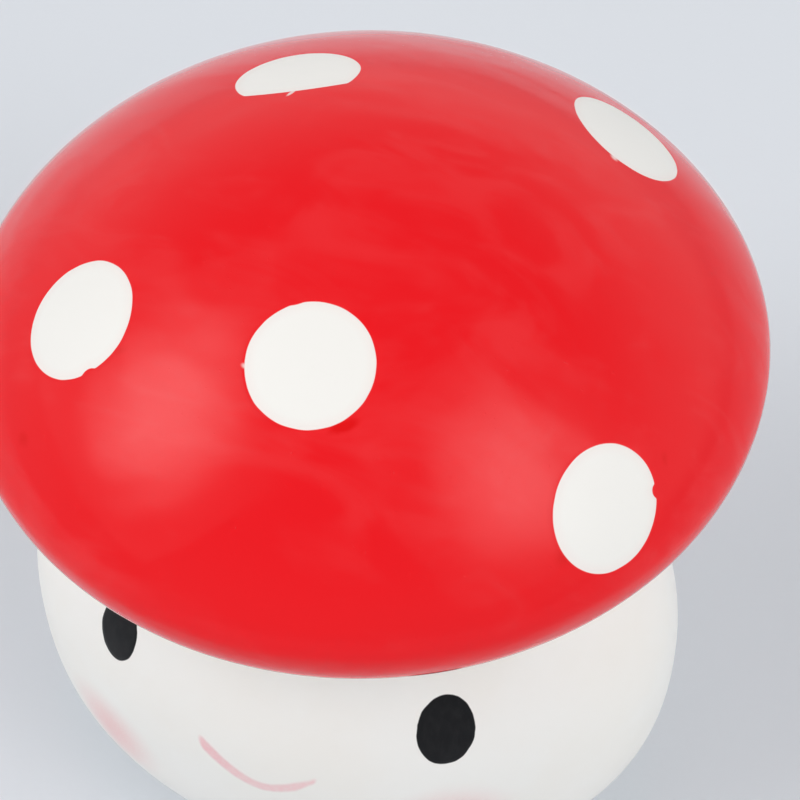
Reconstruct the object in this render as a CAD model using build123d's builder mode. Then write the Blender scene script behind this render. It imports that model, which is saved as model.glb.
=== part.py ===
"""Ceramic mushroom ornament: a hollow round cap cemented to a hollow oval body that stands on felt pads.

Millimetres, +Z up. The origin is on the floor, under the middle of the cap. The face looks towards -Y.
"""

import os

from build123d import *

# Cap: a hollow round casting
cap_diameter = 106.0
dome_height = 30.2  # widest level to crown
dome_flank = 7.6  # curve handle that keeps the dome steep above the rim
dome_crown = 29.0  # curve handle that keeps the dome level at the crown
rim_roll = 10.2  # radius of the rim, which turns under to the flat underside
cap_wall = 4.0
cap_setback = 7.5  # the cap's axis lies this far behind the body's axis

# Body: a hollow oval casting, wider across the face than it is deep
body_width = 93.0
body_depth = 72.5
body_wall = 4.0
base_wall = 5.0
belly_height = 30.0  # foot to widest level
chest_height = 35.3  # widest level to shoulder
foot_width = 51.0
shoulder_width = 56.0
belly_flank = 15.0  # curve handle below the widest level
belly_sole = 20.0  # curve handle along the sole, above the foot
sole_angle = 26.0  # slope of the sole where it leaves the foot, in degrees
chest_flank = 16.0  # curve handle above the widest level
chest_slope = 15.0  # curve handle below the shoulder
shoulder_angle = 48.0  # slope of the chest where it meets the shoulder, in degrees
foot_round = 1.5
shoulder_round = 2.0
body_steps = 12  # oval sections from foot to shoulder

# Neck: the round spigot on the shoulder that locates the cap, in the collar inside the cap
neck_ledge = 12.0  # from the shoulder's edge in to the neck, at the body's sides
neck_height = 9.0
neck_clearance = 0.75  # per side, between neck and collar
neck_chamfer = 1.0
collar_wall = 3.0
collar_over_neck = 2.0  # the collar stands this much taller than the neck

# Cement bed between shoulder and cap
bed_thickness = 1.0
bed_inset = 2.5  # the bed stops short of the shoulder's edge, out of sight
bed_neck_gap = 0.5

# Casting hole in the base and its soft stopper
hole_diameter = 15.0
stopper_clearance = 0.15  # per side
flange_diameter = 20.0
flange_thickness = 1.4
flange_clearance = 0.5  # per side, in the recess
flange_depth = 0.8  # the flange lies this far above the foot
lip_overhang = 0.7  # the stopper's inner lip reaches this far past the hole
lip_height = 2.4
lip_gap = 0.2  # between the lip and the base
stopper_wall = 2.0
stopper_skin = 1.8

# Felt pads
pad_diameter = 8.0
pad_thickness = 1.5
pad_edge = 2.0  # from the foot's edge to the pads
pad_bearing = 40.0  # angle of the pads round the foot, from the body's wide axis, in degrees
pad_round = 0.3

# Levels, from the floor up
foot_level = pad_thickness
belly_level = foot_level + belly_height
shoulder_level = belly_level + chest_height
underside_level = shoulder_level + bed_thickness
brim_level = underside_level + rim_roll
crown_level = brim_level + dome_height

# The body's axis stands in front of the cap's, and the body is squeezed front to back
body_axis = (0, -cap_setback)
squeeze = body_depth / body_width
hollow_squeeze = (body_depth - 2 * body_wall) / (body_width - 2 * body_wall)
neck_radius = shoulder_width / 2 - neck_ledge
collar_height = neck_height - bed_thickness + collar_over_neck
recess_depth = flange_depth + flange_thickness

os.makedirs("parts", exist_ok=True)


def cap_outline(inset):
    """Outline of half the cap's section, this far in from its surface: underside, rim, dome and axis."""
    brim = cap_diameter / 2 - inset
    roll = rim_roll - inset
    crown = crown_level - inset
    underside = underside_level + inset
    with BuildLine() as outline:
        Line((0, underside), (brim - roll, underside))
        JernArc((brim - roll, underside), (1, 0), roll, 90)
        Bezier((brim, brim_level), (brim, brim_level + dome_flank), (dome_crown, crown), (0, crown))
        Line((0, crown), (0, underside))
    return outline.line


def body_sections(wall, floor_wall):
    """Half width and height of the body's oval sections, this far in from its surface, foot to shoulder."""
    belly = body_width / 2 - wall
    foot = foot_width / 2 - wall / 2
    shoulder = shoulder_width / 2 - wall / 2
    floor = foot_level + floor_wall
    top = shoulder_level - wall
    sole = Vector(belly_sole, 0).rotate(Axis.Z, sole_angle)
    slope = Vector(chest_slope, 0).rotate(Axis.Z, -shoulder_angle)
    with BuildLine() as flank:
        Bezier(
            (foot, floor),
            (foot + sole.X, floor + sole.Y),
            (belly, belly_level - belly_flank),
            (belly, belly_level),
        )
        Bezier(
            (belly, belly_level),
            (belly, belly_level + chest_flank),
            (shoulder + slope.X, top + slope.Y),
            (shoulder, top),
        )
    return [flank.line @ (step / body_steps) for step in range(body_steps + 1)]


# Cap: turned dome of even wall, with a collar round the hole for the neck
with BuildPart() as cap:
    with BuildSketch(Plane.XZ):
        make_face(cap_outline(0))
    revolve(axis=Axis.Z)
    with BuildSketch(Plane.XZ):
        make_face(cap_outline(cap_wall))
    revolve(axis=Axis.Z, mode=Mode.SUBTRACT)
    with BuildSketch(Plane.XY.offset(underside_level)):
        with Locations(body_axis):
            Circle(neck_radius + neck_clearance + collar_wall)
    extrude(amount=collar_height)
    with BuildSketch(Plane.XY.offset(underside_level)):
        with Locations(body_axis):
            Circle(neck_radius + neck_clearance)
    extrude(amount=collar_height, mode=Mode.SUBTRACT)
cap.part.label = "cap_shell"
export_step(cap.part, "parts/cap_shell.step")

# Body: a hollow oval form with an open neck, and the casting hole with a recess for the stopper's flange
with BuildPart() as body:
    for section in body_sections(0, 0):
        with BuildSketch(Plane.XY.offset(section.Y)):
            with Locations(body_axis):
                Ellipse(section.X, section.X * squeeze)
    loft()
    fillet(body.edges().group_by(Axis.Z)[0], foot_round)
    fillet(body.edges().group_by(Axis.Z)[-1], shoulder_round)
    for section in body_sections(body_wall, base_wall):
        with BuildSketch(Plane.XY.offset(section.Y)):
            with Locations(body_axis):
                Ellipse(section.X, section.X * hollow_squeeze)
    loft(mode=Mode.SUBTRACT)
    with BuildSketch(Plane.XY.offset(shoulder_level)):
        with Locations(body_axis):
            Circle(neck_radius)
    extrude(amount=neck_height)
    chamfer(body.edges().group_by(Axis.Z)[-1], neck_chamfer)
    with BuildSketch(Plane.XY.offset(shoulder_level - body_wall)):
        with Locations(body_axis):
            Circle(neck_radius - body_wall)
    extrude(amount=body_wall + neck_height, mode=Mode.SUBTRACT)
    with Locations(Plane((*body_axis, foot_level), z_dir=(0, 0, -1))):
        CounterBoreHole(
            radius=hole_diameter / 2,
            counter_bore_radius=flange_diameter / 2 + flange_clearance,
            counter_bore_depth=recess_depth,
            depth=base_wall + body_wall,
        )
body.part.label = "body_shell"
export_step(body.part, "parts/body_shell.step")

# Cement bed: an oval ring on the shoulder, round the neck, that carries the cap
with BuildPart() as bed:
    with BuildSketch(Plane.XY.offset(shoulder_level)):
        with Locations(body_axis):
            Ellipse(shoulder_width / 2 - bed_inset, shoulder_width / 2 * squeeze - bed_inset)
            Circle(neck_radius + bed_neck_gap, mode=Mode.SUBTRACT)
    extrude(amount=bed_thickness)
bed.part.label = "cement_bed"
export_step(bed.part, "parts/cement_bed.step")

# Stopper: a soft cup with a flange in the recess and a tapered lip above the base
shank = hole_diameter / 2 - stopper_clearance
lip = hole_diameter / 2 + lip_overhang
flange_level = foot_level + flange_depth
seat_level = foot_level + recess_depth
lip_level = foot_level + base_wall + lip_gap
top_level = lip_level + lip_height
with BuildPart() as stopper:
    with BuildSketch(Plane.XZ.offset(cap_setback)):
        with BuildLine():
            Polyline(
                (0, top_level),
                (shank - stopper_wall / 2, top_level),
                (lip, lip_level),
                (shank, lip_level),
                (shank, seat_level),
                (flange_diameter / 2, seat_level),
                (flange_diameter / 2, flange_level),
                (shank - stopper_wall, flange_level),
                (shank - stopper_wall, top_level - stopper_skin),
                (0, top_level - stopper_skin),
                close=True,
            )
        make_face()
    revolve(axis=Axis((*body_axis, 0), (0, 0, 1)))
stopper.part.label = "base_stopper"
export_step(stopper.part, "parts/base_stopper.step")

# Pads: felt discs under the rim of the foot
pad_reach = foot_width / 2 - pad_edge - pad_diameter / 2
pad_reach_back = foot_width / 2 * squeeze - pad_edge - pad_diameter / 2
pad_place = Vector(1, 0).rotate(Axis.Z, pad_bearing)
for row, end in (("front", -1), ("rear", 1)):
    for hand, side in (("left", -1), ("right", 1)):
        with BuildPart() as pad:
            with BuildSketch():
                with Locations((side * pad_place.X * pad_reach, end * pad_place.Y * pad_reach_back - cap_setback)):
                    Circle(pad_diameter / 2)
            extrude(amount=pad_thickness)
            fillet(pad.edges().group_by(Axis.Z)[0], pad_round)
        pad.part.label = f"pad_{row}_{hand}"
        export_step(pad.part, f"parts/{pad.part.label}.step")
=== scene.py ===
"""Ceramic mushroom ornament: a glossy red cap with white dots on a white oval body with a painted face.

Metres, +Z up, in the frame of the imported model. The face looks towards -Y, and bearings run
anticlockwise from +X, seen from above.
"""

import math
from typing import NamedTuple

import bmesh
import bpy
from bpy.props import FloatProperty, FloatVectorProperty, IntProperty, PointerProperty
from mathutils import Matrix, Vector, noise
from mathutils.bvhtree import BVHTree
from mathutils.geometry import interpolate_bezier


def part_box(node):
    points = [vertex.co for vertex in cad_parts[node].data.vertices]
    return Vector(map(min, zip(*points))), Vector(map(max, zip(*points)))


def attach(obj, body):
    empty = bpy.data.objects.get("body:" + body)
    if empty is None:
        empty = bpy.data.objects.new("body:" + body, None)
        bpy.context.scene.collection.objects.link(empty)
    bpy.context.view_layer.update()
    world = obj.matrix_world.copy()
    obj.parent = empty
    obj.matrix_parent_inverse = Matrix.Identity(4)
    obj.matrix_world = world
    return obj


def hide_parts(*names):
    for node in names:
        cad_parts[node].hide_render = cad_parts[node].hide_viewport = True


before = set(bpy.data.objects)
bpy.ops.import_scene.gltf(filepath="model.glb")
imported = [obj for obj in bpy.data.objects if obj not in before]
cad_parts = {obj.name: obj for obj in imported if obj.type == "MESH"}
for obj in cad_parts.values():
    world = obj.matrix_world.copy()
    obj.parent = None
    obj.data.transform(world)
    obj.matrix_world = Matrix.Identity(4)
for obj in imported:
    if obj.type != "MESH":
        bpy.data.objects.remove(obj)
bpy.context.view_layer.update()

bl_info = {
    "name": "Ceramic mushroom ornament",
    "version": (1, 0, 0),
    "blender": (4, 5, 0),
    "location": "View3D > Sidebar > Ornament",
    "description": "Models, paints and stages a ceramic mushroom ornament",
    "category": "Add Mesh",
}

MM = 0.001
UP = Vector((0, 0, 1))
BODY = "root"

# Handle length of a Bezier curve that follows a quarter circle of radius 1
QUARTER_HANDLE = 4 / 3 * (math.sqrt(2) - 1)
# Edges that turn by more than this are shaded as corners
CORNER_ANGLE = math.radians(35)
# Points closer than this are one point
WELD = 0.001 * MM


class NodeBox:
    """Corners, middle and size of a node of the frame at rest."""

    def __init__(self, node):
        self.low, self.high = (Vector(corner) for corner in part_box(node))
        self.middle = (self.low + self.high) / 2
        self.size = self.high - self.low


cap_box = NodeBox("cap_shell")
body_box = NodeBox("body_shell")
bed_box = NodeBox("cement_bed")
stopper_box = NodeBox("base_stopper")
PAD_NODES = ("pad_front_left", "pad_front_right", "pad_rear_left", "pad_rear_right")


class Mark(NamedTuple):
    """An oval on the cap: where it sits and leans, in degrees, and its half sizes in millimetres.

    A mask with a flat edge leaves a dot that stops short, this far above its middle.
    """

    bearing: float
    rise: float
    half_width: float
    half_height: float
    lean: float
    flat_edge: float | None = None


# How far a flat edge bows, in millimetres, at one millimetre from its middle
FLAT_EDGE_BOW = 0.024
# The five dots of the front and crown, then one low on the back
DOTS = (
    Mark(130.4, 46.3, 8.25, 7.4, -21.9, flat_edge=5.35),
    Mark(49.4, 21.9, 9.2, 7.85, -19.2),
    Mark(220.4, 25.6, 7.95, 8.05, 1.9),
    Mark(277.1, 41.7, 8.0, 7.95, 50.6),
    Mark(328.4, 11.2, 7.1, 8.0, -52.0),
    Mark(107.0, 6.5, 7.6, 7.4, 10.0),
)


class Nick(NamedTuple):
    """A round bite out of a dot: where it sits, in degrees, and its radius in millimetres."""

    bearing: float
    rise: float
    radius: float


# Where red crept under the edge of a mask, and where some white shows past one
RED_NICKS = (Nick(337.4, 8.9, 1.05), Nick(233.1, 22.3, 1.5), Nick(263.5, 56.4, 2.85))
SMEARS = (
    Mark(137.4, 54.3, 1.0, 0.3, 25.0),
    Mark(261.8, 38.4, 0.7, 0.4, 0.0),
    Mark(40.1, 29.8, 0.8, 0.6, 0.0),
)
# Where the wet lacquer gathered beside the dots and dried deeper
POOLS = (
    Mark(229.8, 9.4, 1.1, 0.9, 0.0),
    Mark(286.6, 31.8, 2.1, 0.8, 25.0),
    Mark(233.7, 28.6, 0.6, 1.2, -20.0),
    Mark(319.2, 8.6, 1.4, 1.3, 0.0),
    Mark(341.2, 11.3, 0.5, 0.9, -30.0),
)


class Place(NamedTuple):
    """A place on the body: its bearing in degrees and its height in millimetres."""

    bearing: float
    height: float


class Eye(NamedTuple):
    """A painted eye on the body: bearing and lean in degrees, height and half sizes in millimetres."""

    bearing: float
    height: float
    half_width: float
    half_height: float
    lean: float


EYES = (
    Eye(309.7, 46.3, 3.9, 5.6, -6.0),
    Eye(231.2, 47.5, 3.35, 4.9, 4.0),
)
SMILE = Place(270.0, 32.35)
CHEEKS = (Place(230.3, 25.2), Place(309.6, 28.2))


def length(label, note, default):
    """A size in metres that a user can change."""
    return FloatProperty(
        name=label,
        description=note,
        default=default,
        min=0.0,
        precision=4,
        subtype="DISTANCE",
        unit="LENGTH",
    )


def angle(label, note, degrees):
    """An angle that a user can change, given in degrees and kept in radians."""
    return FloatProperty(
        name=label, description=note, default=math.radians(degrees), subtype="ANGLE", unit="ROTATION"
    )


def colour(label, note, default):
    """A linear colour that a user can change."""
    return FloatVectorProperty(
        name=label, description=note, default=default, min=0.0, max=1.0, size=3, subtype="COLOR"
    )


def power(label, note, watts):
    """A lamp's power that a user can change."""
    return FloatProperty(name=label, description=note, default=watts, min=0.0, unit="POWER")


class CapSizes(bpy.types.PropertyGroup):
    """Sizes of the cap that its box doesn't give."""

    rim_roll: length("Rim roll", "Radius of the rim where it turns under", 10.2 * MM)
    dome_flank: length("Dome flank", "Curve handle that keeps the dome steep above the rim", 7.6 * MM)
    dome_crown: length("Dome crown", "Curve handle that keeps the dome level at the crown", 29.0 * MM)
    wall: length("Cap wall", "Thickness of the casting", 4.0 * MM)
    neck_clearance: length("Neck clearance", "Gap round the body's neck", 0.75 * MM)
    collar_wall: length("Collar wall", "Thickness of the collar round the neck", 3.0 * MM)
    collar_height: length("Collar height", "Height of the collar above the underside", 10.0 * MM)
    steps: IntProperty(name="Steps", description="Faces round the cap", default=180, min=24)


class BodySizes(bpy.types.PropertyGroup):
    """Sizes of the body that its box doesn't give."""

    belly_height: length("Belly height", "From the foot to the widest level", 30.0 * MM)
    foot_width: length("Foot width", "Width of the flat foot", 51.0 * MM)
    shoulder_width: length("Shoulder width", "Width of the flat shoulder", 56.0 * MM)
    belly_flank: length("Belly flank", "Curve handle below the widest level", 15.0 * MM)
    belly_sole: length("Belly sole", "Curve handle above the foot", 20.0 * MM)
    sole_angle: angle("Sole angle", "Slope of the sole above the foot", 26.0)
    chest_flank: length("Chest flank", "Curve handle above the widest level", 16.0 * MM)
    chest_slope: length("Chest slope", "Curve handle below the shoulder", 15.0 * MM)
    shoulder_angle: angle("Shoulder angle", "Slope of the chest at the shoulder", 48.0)
    foot_round: length("Foot round", "Radius round the foot", 1.5 * MM)
    shoulder_round: length("Shoulder round", "Radius round the shoulder", 2.0 * MM)
    wall: length("Body wall", "Thickness of the casting", 4.0 * MM)
    base_wall: length("Base wall", "Thickness of the base", 5.0 * MM)
    neck_ledge: length("Neck ledge", "From the shoulder's edge in to the neck", 12.0 * MM)
    neck_chamfer: length("Neck chamfer", "Bevel at the neck's rim", 1.0 * MM)
    hole_radius: length("Hole radius", "Radius of the casting hole", 7.5 * MM)
    recess_radius: length("Recess radius", "Radius of the recess for the stopper's flange", 10.5 * MM)
    recess_depth: length("Recess depth", "Depth of the recess for the stopper's flange", 2.2 * MM)
    steps: IntProperty(name="Steps", description="Faces round the body", default=160, min=24)


class FittingSizes(bpy.types.PropertyGroup):
    """Sizes of the cement bed, the stopper and the pads that their boxes don't give."""

    bed_neck_gap: length("Bed gap", "Gap between the cement and the neck", 0.5 * MM)
    flange_thickness: length("Flange", "Thickness of the stopper's flange", 1.4 * MM)
    shank_gap: length("Shank gap", "Gap between the stopper and its hole", 0.15 * MM)
    lip_overhang: length("Lip overhang", "How far the stopper's lip reaches past the hole", 0.7 * MM)
    lip_height: length("Lip height", "Height of the stopper's tapered lip", 2.4 * MM)
    stopper_wall: length("Stopper wall", "Thickness of the stopper's side", 2.0 * MM)
    stopper_skin: length("Stopper skin", "Thickness of the stopper's closed end", 1.8 * MM)
    stopper_round: length("Stopper round", "Radius of the moulded edges", 0.3 * MM)
    pad_round: length("Pad round", "Radius of the worn lower edge of a felt pad", 0.3 * MM)
    pad_fuzz: length("Pad fuzz", "How uneven the cut edge of the felt is", 0.06 * MM)


class Finishes(bpy.types.PropertyGroup):
    """Colours of the glazes, paints and fittings."""

    red: colour("Red lacquer", "Sprayed cap", (0.84, 0.0045, 0.0095))
    thin_red: colour("Thin red", "Lacquer where it ran thin over the white", (0.85, 0.018, 0.023))
    pooled_red: colour("Pooled red", "Lacquer where it gathered", (0.77, 0.0003, 0.002))
    dot_white: colour("Dot white", "Masked dots", (0.895, 0.875, 0.835))
    glaze_white: colour("Glaze white", "Body", (0.893, 0.884, 0.85))
    warm_white: colour("Warm white", "Warmer clouds in the body's glaze", (0.883, 0.861, 0.814))
    eye_black: colour("Eye black", "Painted eyes", (0.005, 0.005, 0.006))
    smile_pink: colour("Smile pink", "Brushed smile", (0.87, 0.29, 0.36))
    cheek_pink: colour("Cheek pink", "Airbrushed cheeks", (0.865, 0.33, 0.36))
    cement: colour("Cement", "Joint between cap and body", (0.72, 0.70, 0.66))
    rubber: colour("Rubber", "Stopper in the base", (0.75, 0.74, 0.70))
    felt: colour("Felt", "Pads under the foot", (0.55, 0.53, 0.50))


class StageSettings(bpy.types.PropertyGroup):
    """Camera, lamps and floor."""

    aim: FloatVectorProperty(
        name="Aim",
        description="Where the camera looks",
        default=(6.46 * MM, -4.84 * MM, 71.87 * MM),
        unit="LENGTH",
    )
    distance: length("Distance", "From the aim to the camera", 375.75 * MM)
    azimuth: angle("Azimuth", "Turn of the camera to the right of the face", 20.7)
    elevation: angle("Elevation", "Height of the camera above the horizon", 50.1)
    roll: angle("Roll", "Turn of the camera about its own line of sight", -1.25)
    lens: FloatProperty(name="Lens", description="Focal length in millimetres", default=128.43)
    floor_radius: length("Floor radius", "Radius of the round floor", 4.0)
    floor: colour("Floor", "Pale floor", (0.725, 0.758, 0.802))
    horizon: colour("Horizon", "Foot of the studio walls", (0.63, 0.66, 0.69))
    left_wall: colour("Left wall", "Studio walls to the left", (0.79, 0.80, 0.81))
    right_wall: colour("Right wall", "Studio walls to the right", (0.99, 1.0, 1.0))
    front: colour("Front", "Dimmer studio wall in front", (0.62, 0.625, 0.63))
    zenith: colour("Zenith", "Studio ceiling", (0.42, 0.42, 0.425))
    lamp_width: length("Lamp width", "Width of each soft lamp", 4.3)
    lamp_depth: length("Lamp depth", "Depth of each soft lamp", 4.4)
    lamp_distance: length("Lamp distance", "From the ornament to each soft lamp", 4.0)
    lamp_elevation: angle("Lamp elevation", "Height of the soft lamps above the horizon", 43.5)
    left_lamp: angle("Left lamp", "Bearing of the left lamp", 209.5)
    left_power: power("Left power", "Power of the left lamp", 280.0)
    right_lamp: angle("Right lamp", "Bearing of the right lamp", 341.0)
    right_power: power("Right power", "Power of the right lamp", 228.0)


class Nodes:
    """Builds a node tree: constants are set on sockets, and everything else is linked."""

    def __init__(self, tree):
        self.tree = tree

    def feed(self, socket, value):
        """Links a socket's value, or sets a constant one."""
        if isinstance(value, bpy.types.NodeSocket):
            self.tree.links.new(value, socket)
        else:
            socket.default_value = value

    def add(self, kind, *values, **settings):
        """Adds a node with these settings, and feeds its inputs in order."""
        node = self.tree.nodes.new(kind)
        for name, value in settings.items():
            setattr(node, name, value)
        for socket, value in zip(node.inputs, values):
            self.feed(socket, value)
        return node

    def millimetres(self):
        """The point of the surface in the ornament's frame, in millimetres."""
        return self.scaled(self.add("ShaderNodeTexCoord").outputs["Object"], (1 / MM,) * 3)

    def math(self, operation, *values):
        """The result of a scalar operation."""
        return self.add("ShaderNodeMath", *values, operation=operation).outputs["Value"]

    def distance(self, first, second):
        """How far apart two points are."""
        return self.add("ShaderNodeVectorMath", first, second, operation="DISTANCE").outputs["Value"]

    def magnitude(self, vector):
        """How long a vector is."""
        return self.add("ShaderNodeVectorMath", vector, operation="LENGTH").outputs["Value"]

    def square(self, value):
        """A number times itself."""
        return self.math("MULTIPLY", value, value)

    def hypot(self, first, second):
        """The long side of a right triangle with these two short sides."""
        return self.math("SQRT", self.math("ADD", self.square(first), self.square(second)))

    def scaled(self, vector, factors):
        """A vector with each axis multiplied by its own factor."""
        return self.add("ShaderNodeVectorMath", vector, factors, operation="MULTIPLY").outputs["Vector"]

    def split(self, vector):
        """The three parts of a vector."""
        return self.add("ShaderNodeSeparateXYZ", vector).outputs

    def ramp(self, value, low, high, start=0.0, end=1.0, easing="SMOOTHSTEP"):
        """start at low and below, end at high and above, and a smooth change between."""
        return self.add(
            "ShaderNodeMapRange", value, low, high, start, end, interpolation_type=easing
        ).outputs["Result"]

    def noise(self, vector, scale, detail=2.0, roughness=0.5, distortion=0.0):
        """Clouds with features about 1 / scale across, from 0 to 1."""
        node = self.add("ShaderNodeTexNoise")
        settings = {
            "Vector": vector,
            "Scale": scale,
            "Detail": detail,
            "Roughness": roughness,
            "Distortion": distortion,
        }
        for name, value in settings.items():
            self.feed(node.inputs[name], value)
        return node.outputs["Fac"]

    def shaken(self, vector, scale, amount):
        """A point moved about by up to this much, so that a painted edge isn't a perfect one."""
        node = self.add("ShaderNodeTexNoise")
        self.feed(node.inputs["Vector"], vector)
        self.feed(node.inputs["Scale"], scale)
        cloud = node.outputs["Color"]
        centred = self.add("ShaderNodeVectorMath", cloud, (0.5,) * 3, operation="SUBTRACT")
        moved = self.scaled(centred.outputs["Vector"], (2 * amount,) * 3)
        return self.add("ShaderNodeVectorMath", vector, moved, operation="ADD").outputs["Vector"]

    def mix(self, factor, first, second):
        """One colour over another."""
        node = self.add("ShaderNodeMix", data_type="RGBA")
        # The colour sockets come after those of the other kinds of value
        for index, value in ((0, factor), (6, first), (7, second)):
            self.feed(node.inputs[index], value)
        return node.outputs[2]

    def blend(self, factor, first, second):
        """One number over another."""
        return self.ramp(factor, 0.0, 1.0, first, second, easing="LINEAR")

    def bump(self, height, depth, normal=None):
        """A normal bent by a height of 0 to 1 that stands for this depth in metres."""
        node = self.add("ShaderNodeBump")
        node.inputs["Distance"].default_value = depth
        self.feed(node.inputs["Height"], height)
        if normal is not None:
            self.feed(node.inputs["Normal"], normal)
        return node.outputs["Normal"]

    def local(self, vector, seat, sizes=(1.0, 1.0, 1.0)):
        """The point in a seat's own axes, along, up and out of the surface, in units of sizes."""
        node = self.add("ShaderNodeMapping", vector_type="TEXTURE")
        self.feed(node.inputs["Vector"], vector)
        node.inputs["Location"].default_value = seat.translation / MM
        node.inputs["Rotation"].default_value = seat.to_euler()
        node.inputs["Scale"].default_value = sizes
        return node.outputs["Vector"]

    def oval_gap(self, vector, seat, half_width, half_height):
        """About how far a point lies outside an oval on a seat, in millimetres, or below 0 inside."""
        depth = 4 * half_width
        reach = self.magnitude(self.local(vector, seat, (half_width, half_height, depth)))
        return self.math("MULTIPLY", self.math("SUBTRACT", reach, 1.0), (half_width + half_height) / 2)


class Shading(Nodes):
    """Builds the nodes of a new material."""

    def __init__(self, name):
        self.material = bpy.data.materials.new(name)
        self.material.use_nodes = True
        super().__init__(self.material.node_tree)

    def finish(self, **inputs):
        """Feeds the surface's inputs, named with underscores for spaces, and returns the material."""
        surface = self.tree.nodes["Principled BSDF"]
        for name, value in inputs.items():
            self.feed(surface.inputs[name.replace("_", " ")], value)
        return self.material


def opaque(rgb):
    """A colour socket's value."""
    return (*rgb, 1.0)


def seat_on(tree, origin, toward, lean=0.0):
    """Axes of a mark on a surface, where a line from outside meets it on its way to origin.

    They run along, up and out of the surface, and lean turns them about the last.
    """
    direction = toward.normalized()
    reach = 4 * cap_box.size.x
    spot, out, _, _ = tree.ray_cast(origin + direction * reach, -direction)
    if spot is None:
        raise RuntimeError(f"No surface towards {tuple(direction)}")
    along = UP.cross(out).normalized()
    rotation = Matrix((along, out.cross(along), out)).transposed().to_4x4()
    return Matrix.Translation(spot) @ rotation @ Matrix.Rotation(lean, 4, "Z")


def heading(bearing, rise=0.0):
    """A direction from its bearing and its rise above the horizon, in degrees."""
    turn, lift = math.radians(bearing), math.radians(rise)
    return Vector((math.cos(lift) * math.cos(turn), math.cos(lift) * math.sin(turn), math.sin(lift)))


def curve(start, start_handle, end_handle, end, count):
    """Points of a Bezier curve in the XZ plane, given as pairs of radius and height."""
    corners = [Vector((x, 0, z)) for x, z in (start, start_handle, end_handle, end)]
    return interpolate_bezier(*corners, count)


def quarter_round(start, corner, end, count):
    """Points of a quarter circle from start to end, inside this corner."""
    start, corner, end = Vector(start), Vector(corner), Vector(end)
    return curve(
        start, start.lerp(corner, QUARTER_HANDLE), end.lerp(corner, QUARTER_HANDLE), end, count
    )


def lathe(bm, points, axis, steps):
    """Turns an open outline about the vertical line through axis, and returns the new vertices."""
    before = set(bm.verts)
    verts = [bm.verts.new(point + axis) for point in points]
    edges = [bm.edges.new(pair) for pair in zip(verts, verts[1:])]
    bmesh.ops.spin(
        bm, geom=verts + edges, cent=axis, axis=UP, angle=math.tau, steps=steps, use_merge=True
    )
    return [vert for vert in bm.verts if vert not in before]


def squeeze(bm, verts, axis, factor):
    """Squeezes turned vertices front to back."""
    bmesh.ops.scale(bm, vec=(1, factor, 1), space=Matrix.Translation(-axis), verts=verts)


def turn_in(bm, verts):
    """Turns the faces of a hollow towards its middle."""
    bmesh.ops.reverse_faces(bm, faces=list({face for vert in verts for face in vert.link_faces}))


def open_edges(bm, level):
    """The edges of an open rim at this height."""
    return [
        edge for edge in bm.edges
        if edge.is_boundary and all(abs(vert.co.z - level) < WELD for vert in edge.verts)
    ]


def edges_between(verts):
    """The edges that join these vertices to each other."""
    chosen = set(verts)
    nearby = {edge for vert in verts for edge in vert.link_edges}
    return [edge for edge in nearby if chosen.issuperset(edge.verts)]


def ring(bm, centre, radius, steps):
    """The edges of a new circle."""
    made = bmesh.ops.create_circle(bm, segments=steps, radius=radius, matrix=Matrix.Translation(centre))
    return edges_between(made["verts"])


def new_verts(made):
    """The vertices among the parts that an operation made."""
    return [part for part in made["geom"] if isinstance(part, bmesh.types.BMVert)]


def extend(bm, edges, rise=0.0, axis=None, factor=1.0):
    """Extrudes a ring of edges, lifts it and scales it about the vertical line through axis."""
    verts = new_verts(bmesh.ops.extrude_edge_only(bm, edges=edges))
    bmesh.ops.translate(bm, vec=UP * rise, verts=verts)
    if axis is not None:
        bmesh.ops.scale(bm, vec=(factor, factor, 1), space=Matrix.Translation(-axis), verts=verts)
    return edges_between(verts)


def draw_in(bm, edges, axis, flatness, centre, radius):
    """Extrudes an oval ring of edges round axis, in its own plane, to a circle round centre."""
    verts = new_verts(bmesh.ops.extrude_edge_only(bm, edges=edges))
    for vert in verts:
        spoke = Vector((vert.co.x - axis.x, (vert.co.y - axis.y) / flatness, 0)).normalized()
        vert.co = Vector((centre.x, centre.y, vert.co.z)) + spoke * radius
    return edges_between(verts)


def round_edges(bm, edges, width, segments=4):
    """Bevels edges to a round of this width on each side."""
    shape = {"offset_type": "OFFSET", "profile": 0.5, "affect": "EDGES", "material": -1}
    bmesh.ops.bevel(bm, geom=edges, offset=width, segments=segments, **shape)


def close_shell(bm):
    """Merges doubles, points the faces outwards and shades them smooth but for true corners."""
    bmesh.ops.remove_doubles(bm, verts=bm.verts, dist=WELD)
    bmesh.ops.recalc_face_normals(bm, faces=bm.faces)
    for face in bm.faces:
        face.smooth = True
    for edge in bm.edges:
        if not edge.is_manifold:
            raise RuntimeError("The shell has an open or stray edge")
        edge.smooth = edge.calc_face_angle() < CORNER_ANGLE


def add_piece(context, bm, name, node, material):
    """Makes an object of a mesh, in place of a node of the frame."""
    mesh = bpy.data.meshes.new(name)
    bm.to_mesh(mesh)
    bm.free()
    mesh.materials.append(material)
    piece = bpy.data.objects.new(name, mesh)
    context.collection.objects.link(piece)
    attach(piece, BODY)
    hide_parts(node)
    return piece


def cap_outline(sizes, inset):
    """Half the cap's section, this far in from its surface: crown, dome, rim and underside."""
    brim = cap_box.size.x / 2 - inset
    crown = cap_box.high.z - inset
    underside = cap_box.low.z + inset
    brim_level = cap_box.low.z + sizes.rim_roll
    widest = (brim, brim_level)
    dome_points, rim_points = 56, 16
    flank_handle = (brim, brim_level + sizes.dome_flank)
    dome = curve((0, crown), (sizes.dome_crown, crown), flank_handle, widest, dome_points)
    rim_end = (brim - sizes.rim_roll + inset, underside)
    rim = quarter_round(widest, (brim, underside), rim_end, rim_points)
    return dome + rim[1:]


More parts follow.
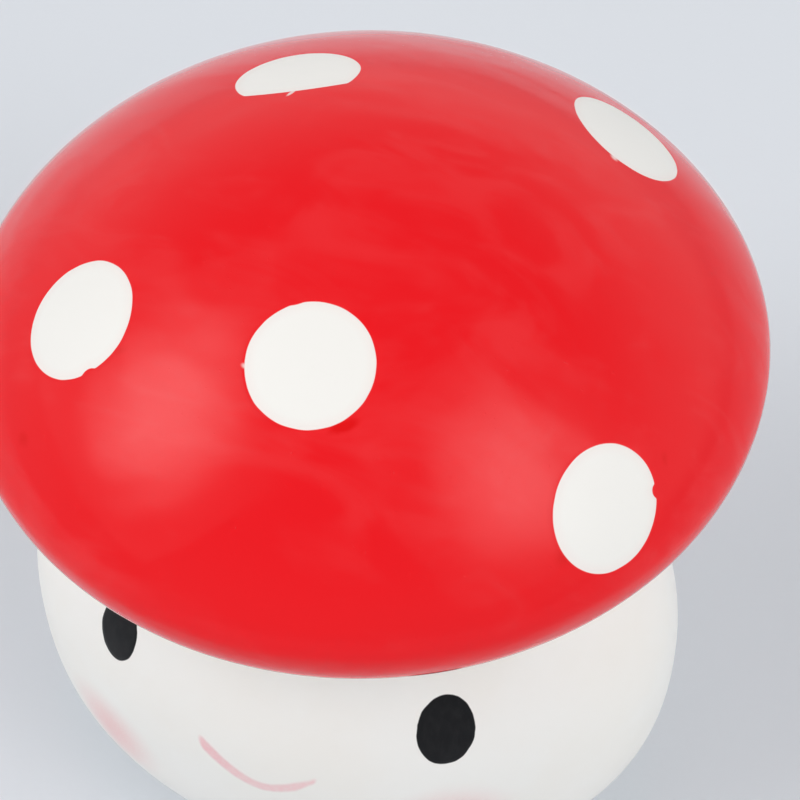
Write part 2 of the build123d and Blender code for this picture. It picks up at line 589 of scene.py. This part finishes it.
def model_cap(sizes, neck_radius):
    """The cap: a turned shell of even wall, with a collar round the off-centre hole for the neck."""
    bm = bmesh.new()
    axis = Vector((cap_box.middle.x, cap_box.middle.y, 0))
    neck_axis = Vector((body_box.middle.x, body_box.middle.y, 0))
    underside = cap_box.low.z
    lathe(bm, cap_outline(sizes, 0.0), axis, sizes.steps)
    turn_in(bm, lathe(bm, cap_outline(sizes, sizes.wall), axis, sizes.steps))
    outer_rim = open_edges(bm, underside)
    inner_rim = open_edges(bm, underside + sizes.wall)
    hole = neck_radius + sizes.neck_clearance
    socket = draw_in(bm, outer_rim, axis, 1.0, neck_axis, hole)
    socket_top = extend(bm, socket, sizes.collar_height)
    collar_top = extend(bm, socket_top, 0.0, neck_axis, (hole + sizes.collar_wall) / hole)
    collar_foot = extend(bm, collar_top, sizes.wall - sizes.collar_height)
    bmesh.ops.bridge_loops(bm, edges=collar_foot + inner_rim)
    close_shell(bm)
    return bm


def body_outline(sizes, wall, floor_wall):
    """Half the body's section across its width, this far in from its surface: foot to shoulder."""
    belly = body_box.size.x / 2 - wall
    foot = sizes.foot_width / 2 - wall / 2
    shoulder = sizes.shoulder_width / 2 - wall / 2
    floor = body_box.low.z + floor_wall
    top = bed_box.low.z - wall
    belly_level = body_box.low.z + sizes.belly_height
    sole = (
        foot + sizes.belly_sole * math.cos(sizes.sole_angle),
        floor + sizes.belly_sole * math.sin(sizes.sole_angle),
    )
    slope = (
        shoulder + sizes.chest_slope * math.cos(sizes.shoulder_angle),
        top - sizes.chest_slope * math.sin(sizes.shoulder_angle),
    )
    widest = (belly, belly_level)
    below = (belly, belly_level - sizes.belly_flank)
    above = (belly, belly_level + sizes.chest_flank)
    points = 32
    lower = curve((foot, floor), sole, below, widest, points)
    upper = curve(widest, above, slope, (shoulder, top), points)
    return lower + upper[1:]


def model_body(sizes, neck_radius):
    """The body: an oval shell with a round open neck, a casting hole and a recess round it."""
    bm = bmesh.new()
    axis = Vector((body_box.middle.x, body_box.middle.y, 0))
    foot_level, neck_level = body_box.low.z, body_box.high.z
    shoulder_level = bed_box.low.z
    hollow_low, hollow_high = foot_level + sizes.base_wall, shoulder_level - sizes.wall
    depth, width = body_box.size.y, body_box.size.x

    skin = lathe(bm, body_outline(sizes, 0.0, 0.0), axis, sizes.steps)
    flatness = depth / width
    squeeze(bm, skin, axis, flatness)
    hollow = lathe(bm, body_outline(sizes, sizes.wall, sizes.base_wall), axis, sizes.steps)
    squeeze(bm, hollow, axis, (depth - 2 * sizes.wall) / (width - 2 * sizes.wall))
    turn_in(bm, hollow)
    foot, shoulder = open_edges(bm, foot_level), open_edges(bm, shoulder_level)
    hollow_floor, hollow_top = open_edges(bm, hollow_low), open_edges(bm, hollow_high)

    neck = draw_in(bm, shoulder, axis, flatness, axis, neck_radius)
    chamfered = neck_radius - sizes.neck_chamfer
    bore = neck_radius - sizes.wall
    neck_side = extend(bm, neck, neck_level - shoulder_level - sizes.neck_chamfer)
    neck_rim = extend(bm, neck_side, sizes.neck_chamfer, axis, chamfered / neck_radius)
    bore_top = extend(bm, neck_rim, 0.0, axis, bore / chamfered)
    bore_foot = extend(bm, bore_top, hollow_high - neck_level)
    bmesh.ops.bridge_loops(bm, edges=bore_foot + hollow_top)

    recess = draw_in(bm, foot, axis, flatness, axis, sizes.recess_radius)
    recess_top = extend(bm, recess, sizes.recess_depth)
    hole = extend(bm, recess_top, 0.0, axis, sizes.hole_radius / sizes.recess_radius)
    hole_top = extend(bm, hole, sizes.base_wall - sizes.recess_depth)
    bmesh.ops.bridge_loops(bm, edges=hole_top + hollow_floor)

    round_edges(bm, foot, sizes.foot_round * math.tan(sizes.sole_angle / 2))
    round_edges(bm, shoulder, sizes.shoulder_round * math.tan(sizes.shoulder_angle / 2))
    close_shell(bm)
    return bm


def model_cement_bed(neck_radius, gap):
    """The bed of cement: an oval ring round the neck whose squeezed-out edge is uneven."""
    bm = bmesh.new()
    steps = 120
    axis = Vector((bed_box.middle.x, bed_box.middle.y, 0))
    half_width, half_depth = bed_box.size.x / 2, bed_box.size.y / 2
    thickness = bed_box.size.z
    bulge, wave = 0.35 * MM, 4 * MM
    outer = ring(bm, axis + UP * bed_box.low.z, half_width - bulge, steps)
    outer_verts = {vert for edge in outer for vert in edge.verts}
    squeeze(bm, list(outer_verts), axis, (half_depth - bulge) / (half_width - bulge))
    inner = ring(bm, axis + UP * bed_box.low.z, neck_radius + gap, steps)
    bmesh.ops.bridge_loops(bm, edges=outer + inner)
    swell = (half_width - bulge / 2) / (half_width - bulge)
    outer_middle = extend(bm, outer, thickness / 2, axis, swell)
    outer_top = extend(bm, outer_middle, thickness / 2, axis, 1 / swell)
    inner_top = extend(bm, inner, thickness)
    bmesh.ops.bridge_loops(bm, edges=outer_top + inner_top)
    for vert in {vert for edge in outer_middle for vert in edge.verts}:
        side = vert.co - axis
        side.z = 0
        vert.co += side.normalized() * bulge / 2 * noise.noise(vert.co / wave)
    close_shell(bm)
    return bm


def model_stopper(sizes, hole_radius):
    """The stopper: a moulded cup with a flange below the base and a tapered lip above it."""
    bm = bmesh.new()
    steps = 64
    axis = Vector((stopper_box.middle.x, stopper_box.middle.y, 0))
    flange_level, top = stopper_box.low.z, stopper_box.high.z
    flange = stopper_box.size.x / 2
    seat_level = flange_level + sizes.flange_thickness
    lip_level = top - sizes.lip_height
    shank = hole_radius - sizes.shank_gap
    outline = (
        (0, top),
        (shank - sizes.stopper_wall / 2, top),
        (hole_radius + sizes.lip_overhang, lip_level),
        (shank, lip_level),
        (shank, seat_level),
        (flange, seat_level),
        (flange, flange_level),
        (shank - sizes.stopper_wall, flange_level),
        (shank - sizes.stopper_wall, top - sizes.stopper_skin),
        (0, top - sizes.stopper_skin),
    )
    lathe(bm, [Vector((x, 0, z)) for x, z in outline], axis, steps)
    bmesh.ops.remove_doubles(bm, verts=bm.verts, dist=WELD)
    corners = [edge for edge in bm.edges if edge.calc_face_angle(0.0) > CORNER_ANGLE]
    round_edges(bm, corners, sizes.stopper_round, segments=3)
    close_shell(bm)
    return bm


def model_pad(box, sizes):
    """A felt pad: a cut disc, rounded where it rests, with an uneven edge."""
    bm = bmesh.new()
    steps = 72
    fibre = 0.4 * MM
    radius = box.size.x / 2 - sizes.pad_fuzz
    foot = Vector((box.middle.x, box.middle.y, box.low.z))
    disc = bmesh.ops.create_circle(
        bm, cap_ends=True, segments=steps, radius=radius, matrix=Matrix.Translation(foot)
    )
    sole = disc["verts"][0].link_faces[0]
    sole_edges = list(sole.edges)
    raised = new_verts(bmesh.ops.extrude_face_region(bm, geom=[sole], use_keep_orig=True))
    bmesh.ops.translate(bm, vec=UP * box.size.z, verts=raised)
    round_edges(bm, sole_edges, sizes.pad_round, segments=3)
    sides = [edge for edge in bm.edges if abs(edge.verts[0].co.z - edge.verts[1].co.z) > box.size.z / 2]
    bmesh.ops.subdivide_edges(bm, edges=sides, cuts=4, use_grid_fill=True)
    for vert in bm.verts:
        side = vert.co - foot
        side.z = 0
        if side.length > radius / 2:
            vert.co += side.normalized() * sizes.pad_fuzz * noise.noise(vert.co / fibre)
    close_shell(bm)
    return bm


def paint_dots(shading, place, seats):
    """How far a point of the cap lies outside the nearest white dot, in millimetres."""
    shaken = shading.shaken(place, scale=0.16, amount=0.22)
    corner_soft = 0.25
    gap = None
    for dot, seat in zip(DOTS, seats["dots"]):
        shape = shading.oval_gap(shaken, seat, dot.half_width, dot.half_height)
        if dot.flat_edge is not None:
            along, up, _ = shading.split(shading.local(place, seat))
            bow = shading.math("MULTIPLY", shading.square(along), FLAT_EDGE_BOW)
            past = shading.math("SUBTRACT", shading.math("ADD", up, bow), dot.flat_edge)
            shape = shading.math("SMOOTH_MAX", shape, past, corner_soft)
        gap = shape if gap is None else shading.math("MINIMUM", gap, shape)
    for nick, seat in zip(RED_NICKS, seats["red_nicks"]):
        inside = shading.math("SUBTRACT", nick.radius, shading.distance(place, seat.translation / MM))
        gap = shading.math("SMOOTH_MAX", gap, inside, corner_soft)
    return gap


def red_lacquer(paint, seats):
    """Glossy red sprayed over white, with masked dots, thin and pooled places and a bare underside."""
    shading = Shading("red_lacquer")
    place = shading.millimetres()
    _, _, height = shading.split(place)
    underside = cap_box.low.z / MM
    pool_soft, pool_cover = 0.4, 0.95
    edge_soft = 0.07
    smear_soft, smear_cover = 0.15, 0.75
    overspray_reach, overspray_cover = 1.6, 0.05
    bare_from, bare_to, bare_wander = 0.4, 1.7, 0.6
    glossiest, dullest, bare_roughness = 0.07, 0.13, 0.42
    bead_width = 0.35
    flow_depth, bead_depth, dust_depth = 0.5 * MM, 0.02 * MM, 0.012 * MM

    clouds = shading.noise(place, 0.035, detail=4.0, roughness=0.55, distortion=0.8)
    drawn_out = shading.scaled(place, (0.05, 0.12, 0.12))
    streaks = shading.noise(drawn_out, 1.0, detail=3.0, distortion=1.5)
    thin = shading.ramp(shading.math("MULTIPLY", clouds, streaks), 0.2, 0.42)
    red = shading.mix(thin, opaque(paint.red), opaque(paint.thin_red))
    runny = shading.shaken(place, scale=0.5, amount=0.4)
    pool = 0.0
    for drop, seat in zip(POOLS, seats["pools"]):
        edge = shading.oval_gap(runny, seat, drop.half_width, drop.half_height)
        cover = shading.ramp(edge, -drop.half_height, pool_soft, pool_cover, 0.0)
        pool = shading.math("MAXIMUM", pool, cover)
    red = shading.mix(pool, red, opaque(paint.pooled_red))

    gap = paint_dots(shading, place, seats)
    white = shading.ramp(gap, -edge_soft, edge_soft, 1.0, 0.0)
    for smear, seat in zip(SMEARS, seats["smears"]):
        edge = shading.oval_gap(place, seat, smear.half_width, smear.half_height)
        cover = shading.ramp(edge, -smear.half_height, smear_soft, smear_cover, 0.0)
        white = shading.math("MAXIMUM", white, cover)
    overspray = shading.ramp(gap, -overspray_reach, 0.0, 0.0, overspray_cover)
    dot = shading.mix(overspray, opaque(paint.dot_white), opaque(paint.thin_red))
    wander = shading.math("MULTIPLY", shading.noise(place, 0.12), bare_wander)
    bare_edge = shading.math("ADD", height, wander)
    bare = shading.ramp(bare_edge, underside + bare_from, underside + bare_to, 1.0, 0.0)
    painted = shading.mix(bare, shading.mix(white, red, dot), opaque(paint.glaze_white))

    matt = shading.math("MAXIMUM", white, bare)
    wiped = shading.noise(place, 0.09, detail=3.0, roughness=0.6, distortion=0.6)
    gloss = shading.ramp(wiped, 0.3, 0.75, glossiest, dullest)
    roughness = shading.blend(matt, gloss, bare_roughness)

    running = shading.scaled(place, (0.6, 1.0, 1.0))
    flow = shading.noise(running, 0.055, roughness=0.45, distortion=0.7)
    relief = shading.bump(flow, flow_depth)
    relief = shading.bump(shading.ramp(gap, 0.0, bead_width), bead_depth, relief)
    dust = shading.ramp(shading.noise(place, 1.9, detail=1.0), 0.72, 0.8)
    relief = shading.bump(dust, dust_depth, relief)
    return shading.finish(
        Base_Color=painted, Roughness=roughness, Normal=relief, Specular_IOR_Level=0.25
    )


def smile_stroke(shading, place, seat):
    """How strongly the smile covers a point, from 0 to 1.

    The brush was pressed down at the left end, drawn along a bow and lifted off at the right end.
    """
    slope, round_part = 1.03, 5.4
    left_end, drawn, lift_off, right_end = -8.2, -1.0, 4.5, 7.3
    pressed_half, drawn_half, tip_share = 0.92, 0.76, 0.45
    pressed_cover, drawn_cover = 0.58, 0.44
    far_side, near_side = -12.0, -8.0
    soft = 0.35
    brushed = shading.shaken(place, scale=0.35, amount=0.15)
    along, up, out = shading.split(shading.local(brushed, seat))
    bow = shading.hypot(along, round_part)
    line = shading.math("MULTIPLY", shading.math("SUBTRACT", bow, round_part), slope)
    tilt = shading.math("DIVIDE", shading.math("MULTIPLY", along, slope), bow)
    above = shading.math("SUBTRACT", up, line)
    across = shading.math("DIVIDE", above, shading.hypot(tilt, 1.0))
    past_left = shading.math("SUBTRACT", left_end, along)
    past_right = shading.math("SUBTRACT", along, right_end)
    past_end = shading.math("MAXIMUM", shading.math("MAXIMUM", past_left, past_right), 0.0)
    half_stroke = shading.math(
        "MULTIPLY",
        shading.ramp(along, left_end, lift_off, pressed_half, drawn_half),
        shading.ramp(along, lift_off, right_end, 1.0, tip_share),
    )
    edge = shading.math("SUBTRACT", shading.hypot(across, past_end), half_stroke)
    front = shading.ramp(out, far_side, near_side)
    stroke = shading.math("MULTIPLY", front, shading.ramp(edge, -soft, soft, 1.0, 0.0))
    cover = shading.ramp(along, left_end, drawn, pressed_cover, drawn_cover)
    bristles = shading.ramp(shading.noise(place, 1.6, detail=3.0), 0.3, 0.7, 0.8, 1.0)
    return shading.math("MULTIPLY", stroke, shading.math("MULTIPLY", cover, bristles))


def white_ceramic(paint, seats):
    """Satin off-white glaze with black eyes, a brushed smile and airbrushed cheeks."""
    shading = Shading("white_ceramic")
    place = shading.millimetres()
    cheek_size, cheek_cover = (10.0, 9.0, 20.0), 0.5
    edge_soft, eye_bevel = 0.08, 0.5
    smoothest, roughest, eye_roughness = 0.34, 0.46, 0.3
    wave_depth, paint_depth, grain_depth = 0.12 * MM, 0.04 * MM, 0.004 * MM

    clouds = shading.ramp(shading.noise(place, 0.04, detail=4.0, roughness=0.6), 0.35, 0.7)
    white = shading.mix(clouds, opaque(paint.glaze_white), opaque(paint.warm_white))

    speckle = shading.ramp(shading.noise(place, 2.2), 0.25, 0.75, 0.8, 1.0)
    cheek = 0.0
    for seat in seats["cheeks"]:
        reach = shading.magnitude(shading.local(place, seat, cheek_size))
        cheek = shading.math("MAXIMUM", cheek, shading.ramp(reach, 0.05, 1.05, cheek_cover, 0.0))
    painted = shading.mix(shading.math("MULTIPLY", cheek, speckle), white, opaque(paint.cheek_pink))

    smile = smile_stroke(shading, place, seats["smile"])
    painted = shading.mix(smile, painted, opaque(paint.smile_pink))

    shaken = shading.shaken(place, scale=0.4, amount=0.18)
    gap = None
    for eye, seat in zip(EYES, seats["eyes"]):
        oval = shading.oval_gap(shaken, seat, eye.half_width, eye.half_height)
        gap = oval if gap is None else shading.math("MINIMUM", gap, oval)
    black = shading.ramp(gap, -edge_soft, edge_soft, 1.0, 0.0)
    # The eyes' black is lightened a little along brush-stroke streaks: a painted sheen
    brushed = shading.noise(shading.scaled(place, (0.6, 0.6, 0.15)), 2.0, detail=3.0)
    painted_sheen = shading.ramp(brushed, 0.3, 0.8, 0.0, 0.006)
    eye_colour = shading.mix(painted_sheen, opaque(paint.eye_black), opaque(paint.glaze_white))
    painted = shading.mix(black, painted, eye_colour)

    satin = shading.ramp(shading.noise(place, 0.15, detail=4.0), 0.3, 0.7, smoothest, roughest)
    roughness = shading.blend(black, satin, eye_roughness)
    relief = shading.bump(shading.noise(place, 0.12, roughness=0.4), wave_depth)
    relief = shading.bump(shading.ramp(gap, -eye_bevel, 0.0, 1.0, 0.0), paint_depth, relief)
    relief = shading.bump(shading.noise(place, 3.0), grain_depth, relief)
    return shading.finish(
        Base_Color=painted, Roughness=roughness, Normal=relief, Specular_IOR_Level=0.16
    )


def ceramic_cement(paint):
    """Matt cement with sandy grain and a few darker pores."""
    shading = Shading("cement")
    place = shading.millimetres()
    dull, dark = 0.82 * Vector(paint.cement), 0.5 * Vector(paint.cement)
    sand = shading.noise(place, 2.5, detail=4.0, roughness=0.65)
    pores = shading.ramp(shading.noise(place, 1.1, detail=1.0), 0.66, 0.74, 0.0, 0.5)
    pale = shading.mix(sand, opaque(paint.cement), opaque(dull))
    pitted = shading.mix(pores, pale, opaque(dark))
    relief = shading.bump(sand, 0.12 * MM)
    roughness = shading.ramp(sand, 0.2, 0.8, 0.75, 0.95)
    return shading.finish(Base_Color=pitted, Roughness=roughness, Normal=relief)


def soft_rubber(paint):
    """Pale moulded rubber, a little cloudy, with a fine spark-eroded grain."""
    shading = Shading("stopper_rubber")
    place = shading.millimetres()
    dull = 0.86 * Vector(paint.rubber)
    clouds = shading.noise(place, 0.25, detail=3.0, roughness=0.6)
    milky = shading.mix(clouds, opaque(paint.rubber), opaque(dull))
    grain = shading.noise(place, 6.0)
    relief = shading.bump(grain, 0.02 * MM)
    roughness = shading.ramp(grain, 0.3, 0.7, 0.45, 0.6)
    return shading.finish(Base_Color=milky, Roughness=roughness, Normal=relief)


def pressed_felt(paint):
    """Pressed felt: crossed fibres, flecks of lighter wool and a soft sheen."""
    shading = Shading("felt")
    place = shading.millimetres()
    dark, light = 0.6 * Vector(paint.felt), 1.3 * Vector(paint.felt)
    runs = [shading.scaled(place, run) for run in ((1.0, 6.0, 3.0), (6.0, 1.0, 3.0))]
    strands = [shading.noise(run, 1.5, detail=3.0, roughness=0.6, distortion=1.2) for run in runs]
    fibres = shading.math("MAXIMUM", *strands)
    flecks = shading.ramp(shading.noise(place, 3.5), 0.58, 0.75, 0.0, 0.4)
    wool = shading.mix(shading.ramp(fibres, 0.35, 0.75), opaque(dark), opaque(paint.felt))
    flecked = shading.mix(flecks, wool, opaque(light))
    relief = shading.bump(fibres, 0.15 * MM)
    roughness = shading.ramp(fibres, 0.3, 0.8, 0.85, 1.0)
    return shading.finish(Base_Color=flecked, Roughness=roughness, Normal=relief, Sheen_Weight=0.3)


def pale_floor(rgb):
    """Pale seamless paper with a faint tooth."""
    shading = Shading("floor_paper")
    place = shading.millimetres()
    dull = 0.985 * Vector(rgb)
    tooth = shading.noise(place, 0.8, detail=3.0, roughness=0.6)
    clouds = shading.noise(place, 0.006)
    paper = shading.mix(shading.ramp(clouds, 0.3, 0.7), opaque(rgb), opaque(dull))
    relief = shading.bump(tooth, 0.03 * MM)
    return shading.finish(Base_Color=paper, Roughness=0.8, Normal=relief, Specular_IOR_Level=0.2)


def neck_radius(context):
    """Radius of the round neck that carries the cap."""
    sizes = context.scene.ornament_body
    return sizes.shoulder_width / 2 - sizes.neck_ledge


class ORNAMENT_OT_cap(bpy.types.Operator):
    """Turn the cap's shell and spray it red with white dots"""

    bl_idname = "ornament.cap"
    bl_label = "Red cap"

    def execute(self, context):
        sizes = context.scene.ornament_cap
        bm = model_cap(sizes, neck_radius(context))
        tree = BVHTree.FromBMesh(bm)
        middle = Vector((cap_box.middle.x, cap_box.middle.y, cap_box.low.z + sizes.rim_roll))

        def spot(mark, lean=0.0):
            return seat_on(tree, middle, heading(mark.bearing, mark.rise), lean)

        seats = {
            "dots": [spot(dot, math.radians(dot.lean)) for dot in DOTS],
            "red_nicks": [spot(nick) for nick in RED_NICKS],
            "smears": [spot(smear, math.radians(smear.lean)) for smear in SMEARS],
            "pools": [spot(pool, math.radians(pool.lean)) for pool in POOLS],
        }
        finish = red_lacquer(context.scene.ornament_finishes, seats)
        add_piece(context, bm, "red_cap", "cap_shell", finish)
        return {"FINISHED"}


class ORNAMENT_OT_body(bpy.types.Operator):
    """Turn and squeeze the body's shell, glaze it white and paint the face"""

    bl_idname = "ornament.body"
    bl_label = "White body"

    def execute(self, context):
        bm = model_body(context.scene.ornament_body, neck_radius(context))
        tree = BVHTree.FromBMesh(bm)

        def spot(mark, lean=0.0):
            axis = Vector((body_box.middle.x, body_box.middle.y, mark.height * MM))
            return seat_on(tree, axis, heading(mark.bearing), lean)

        seats = {
            "eyes": [spot(eye, math.radians(eye.lean)) for eye in EYES],
            "smile": spot(SMILE),
            "cheeks": [spot(cheek) for cheek in CHEEKS],
        }
        finish = white_ceramic(context.scene.ornament_finishes, seats)
        add_piece(context, bm, "white_body", "body_shell", finish)
        return {"FINISHED"}


class ORNAMENT_OT_cement(bpy.types.Operator):
    """Lay the bed of cement between the shoulder and the cap"""

    bl_idname = "ornament.cement"
    bl_label = "Cement bed"

    def execute(self, context):
        bm = model_cement_bed(neck_radius(context), context.scene.ornament_fittings.bed_neck_gap)
        finish = ceramic_cement(context.scene.ornament_finishes)
        add_piece(context, bm, "cement_ring", "cement_bed", finish)
        return {"FINISHED"}


class ORNAMENT_OT_stopper(bpy.types.Operator):
    """Mould the soft stopper of the casting hole"""

    bl_idname = "ornament.stopper"
    bl_label = "Base stopper"

    def execute(self, context):
        bm = model_stopper(context.scene.ornament_fittings, context.scene.ornament_body.hole_radius)
        finish = soft_rubber(context.scene.ornament_finishes)
        add_piece(context, bm, "rubber_stopper", "base_stopper", finish)
        return {"FINISHED"}


class ORNAMENT_OT_pads(bpy.types.Operator):
    """Cut the four felt pads under the foot"""

    bl_idname = "ornament.pads"
    bl_label = "Felt pads"

    def execute(self, context):
        finish = pressed_felt(context.scene.ornament_finishes)
        for node in PAD_NODES:
            bm = model_pad(NodeBox(node), context.scene.ornament_fittings)
            pad = add_piece(context, bm, f"felt_{node}", node, finish)
        return {"FINISHED"}


def light_studio(settings):
    """Lights the world: pale walls, dimmer in front, that run into the floor under a dark ceiling."""
    world = bpy.data.worlds.new("studio")
    world.use_nodes = True
    bpy.context.scene.world = world
    studio = Nodes(world.node_tree)
    right, back, height = studio.split(studio.add("ShaderNodeTexCoord").outputs["Generated"])
    side_end = 0.8
    front_end, back_start = -0.9, 0.2
    foot_top, ceiling_start, ceiling_end = 0.15, 0.25, 0.8
    turn = studio.ramp(right, -side_end, side_end)
    sides = studio.mix(turn, opaque(settings.left_wall), opaque(settings.right_wall))
    walls = studio.mix(studio.ramp(back, front_end, back_start), opaque(settings.front), sides)
    walls = studio.mix(studio.ramp(height, 0.0, foot_top), opaque(settings.horizon), walls)
    ceiling = studio.ramp(height, ceiling_start, ceiling_end)
    room = studio.mix(ceiling, walls, opaque(settings.zenith))
    studio.feed(world.node_tree.nodes["Background"].inputs["Color"], room)


def add_lamp(context, name, bearing, watts):
    """A soft lamp that faces the ornament, bright in its middle and dim at its edges."""
    settings = context.scene.ornament_stage
    lamp = bpy.data.lights.new(name, "AREA")
    lamp.shape = "RECTANGLE"
    lamp.size, lamp.size_y = settings.lamp_width, settings.lamp_depth
    lamp.energy = watts
    lamp.use_nodes = True
    glow = Nodes(lamp.node_tree)
    across = glow.add("ShaderNodeNewGeometry").outputs["Parametric"]
    middle, edge, edge_glow = (0.5, 0.5, 0.0), 0.46, 0.06
    fade = glow.ramp(glow.distance(across, middle), 0.0, edge, 1.0, edge_glow)
    glow.feed(lamp.node_tree.nodes["Emission"].inputs["Strength"], fade)
    holder = bpy.data.objects.new(name, lamp)
    context.collection.objects.link(holder)
    direction = heading(math.degrees(bearing), math.degrees(settings.lamp_elevation))
    holder.location = Vector(settings.aim) + direction * settings.lamp_distance
    holder.rotation_euler = direction.to_track_quat("Z", "Y").to_euler()
    holder.visible_camera = False


def add_camera(context, settings):
    """The camera at its angle, turned a little about its line of sight."""
    lens = bpy.data.cameras.new("camera")
    lens.lens = settings.lens
    camera = bpy.data.objects.new("camera", lens)
    context.collection.objects.link(camera)
    right_of_front = heading(math.degrees(settings.azimuth) - 90, math.degrees(settings.elevation))
    place = Matrix.Translation(Vector(settings.aim) + right_of_front * settings.distance)
    aimed = right_of_front.to_track_quat("Z", "Y").to_matrix().to_4x4()
    camera.matrix_world = place @ aimed @ Matrix.Rotation(settings.roll, 4, "Z")
    context.scene.camera = camera


class ORNAMENT_OT_stage(bpy.types.Operator):
    """Set the floor, the lamps and the camera"""

    bl_idname = "ornament.stage"
    bl_label = "Stage"

    def execute(self, context):
        settings = context.scene.ornament_stage
        bm = bmesh.new()
        bmesh.ops.create_circle(bm, cap_ends=True, segments=96, radius=settings.floor_radius)
        mesh = bpy.data.meshes.new("floor")
        bm.to_mesh(mesh)
        bm.free()
        mesh.materials.append(pale_floor(settings.floor))
        floor = bpy.data.objects.new("floor", mesh)
        context.collection.objects.link(floor)
        light_studio(settings)
        add_lamp(context, "left_lamp", settings.left_lamp, settings.left_power)
        add_lamp(context, "right_lamp", settings.right_lamp, settings.right_power)
        add_camera(context, settings)
        context.scene.view_settings.view_transform = "Standard"
        return {"FINISHED"}


OPERATORS = (
    ORNAMENT_OT_cap,
    ORNAMENT_OT_body,
    ORNAMENT_OT_cement,
    ORNAMENT_OT_stopper,
    ORNAMENT_OT_pads,
    ORNAMENT_OT_stage,
)
SETTINGS = {
    "ornament_cap": CapSizes,
    "ornament_body": BodySizes,
    "ornament_fittings": FittingSizes,
    "ornament_finishes": Finishes,
    "ornament_stage": StageSettings,
}


class ORNAMENT_PT_sidebar(bpy.types.Panel):
    """Lists the ornament's pieces and settings"""

    bl_idname = "ORNAMENT_PT_sidebar"
    bl_label = "Mushroom ornament"
    bl_space_type = "VIEW_3D"
    bl_region_type = "UI"
    bl_category = "Ornament"

    def draw(self, context):
        pieces = self.layout.column(align=True)
        for operator in OPERATORS:
            pieces.operator(operator.bl_idname)
        for name, group in SETTINGS.items():
            box = self.layout.box()
            settings = getattr(context.scene, name)
            for field in group.__annotations__:
                box.prop(settings, field)


def register():
    for group in (*SETTINGS.values(), *OPERATORS, ORNAMENT_PT_sidebar):
        bpy.utils.register_class(group)
    for name, group in SETTINGS.items():
        setattr(bpy.types.Scene, name, PointerProperty(type=group))


def unregister():
    for name in SETTINGS:
        delattr(bpy.types.Scene, name)
    for group in reversed((*SETTINGS.values(), *OPERATORS, ORNAMENT_PT_sidebar)):
        bpy.utils.unregister_class(group)


def main():
    """Builds every piece and the stage."""
    register()
    bpy.ops.ornament.cap()
    bpy.ops.ornament.body()
    bpy.ops.ornament.cement()
    bpy.ops.ornament.stopper()
    bpy.ops.ornament.pads()
    bpy.ops.ornament.stage()


if __name__ == "__main__":
    main()
